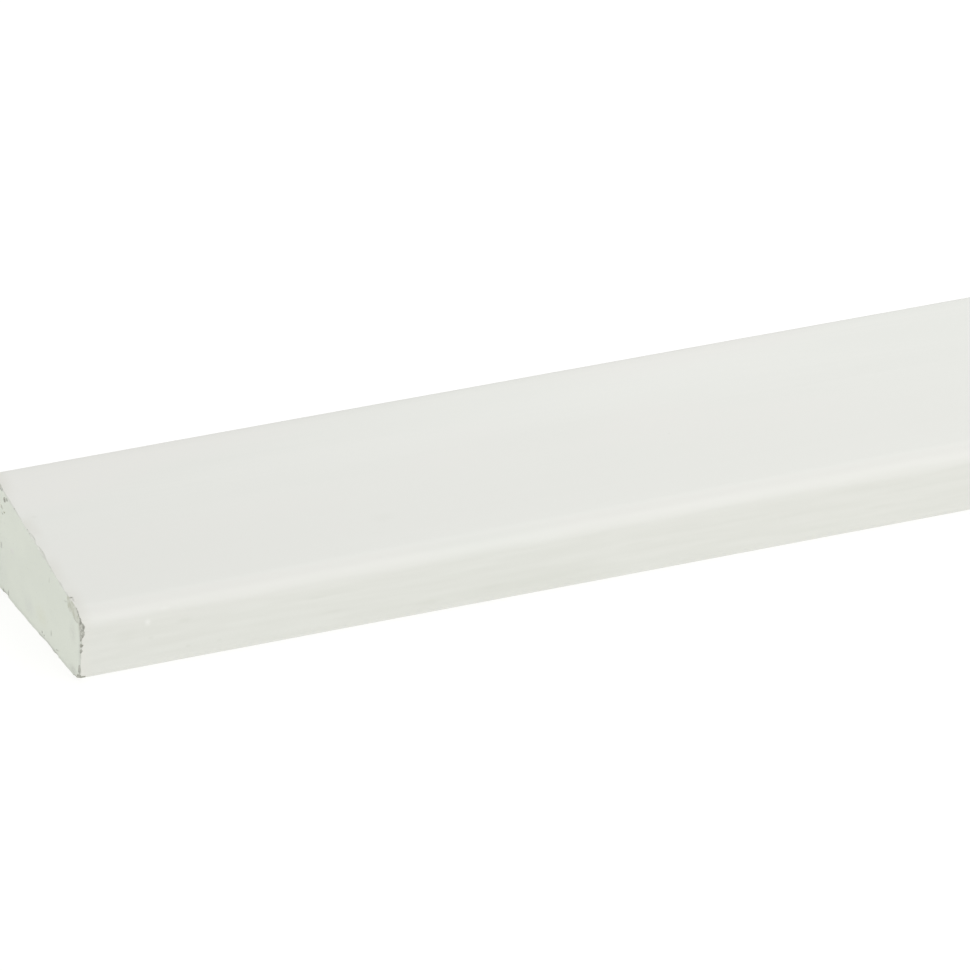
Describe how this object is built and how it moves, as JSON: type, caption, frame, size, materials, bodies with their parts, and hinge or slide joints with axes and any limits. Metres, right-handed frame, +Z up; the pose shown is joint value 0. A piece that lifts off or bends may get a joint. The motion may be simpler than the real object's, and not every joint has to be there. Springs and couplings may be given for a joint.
{
  "type": "glazing bead",
  "caption": "Sloping glazing bead: a primed timber strip with a rounded nose that holds a pane in the rebate of a window frame.",
  "frame": {"origin": "middle of the bead's length and width, on its underside", "axes": "+X along the bead to its far end, +Y towards the glass, +Z up from the seat; the chipped near end is at -X"},
  "size_m": [0.16, 0.034, 0.017],
  "materials": {
    "primed_timber": "satin-matt off-white primer, sawn ends a shade darker and greener"
  },
  "bodies": {
    "root": {"glazing_bead": "primed_timber"}
  },
  "joints": []
}
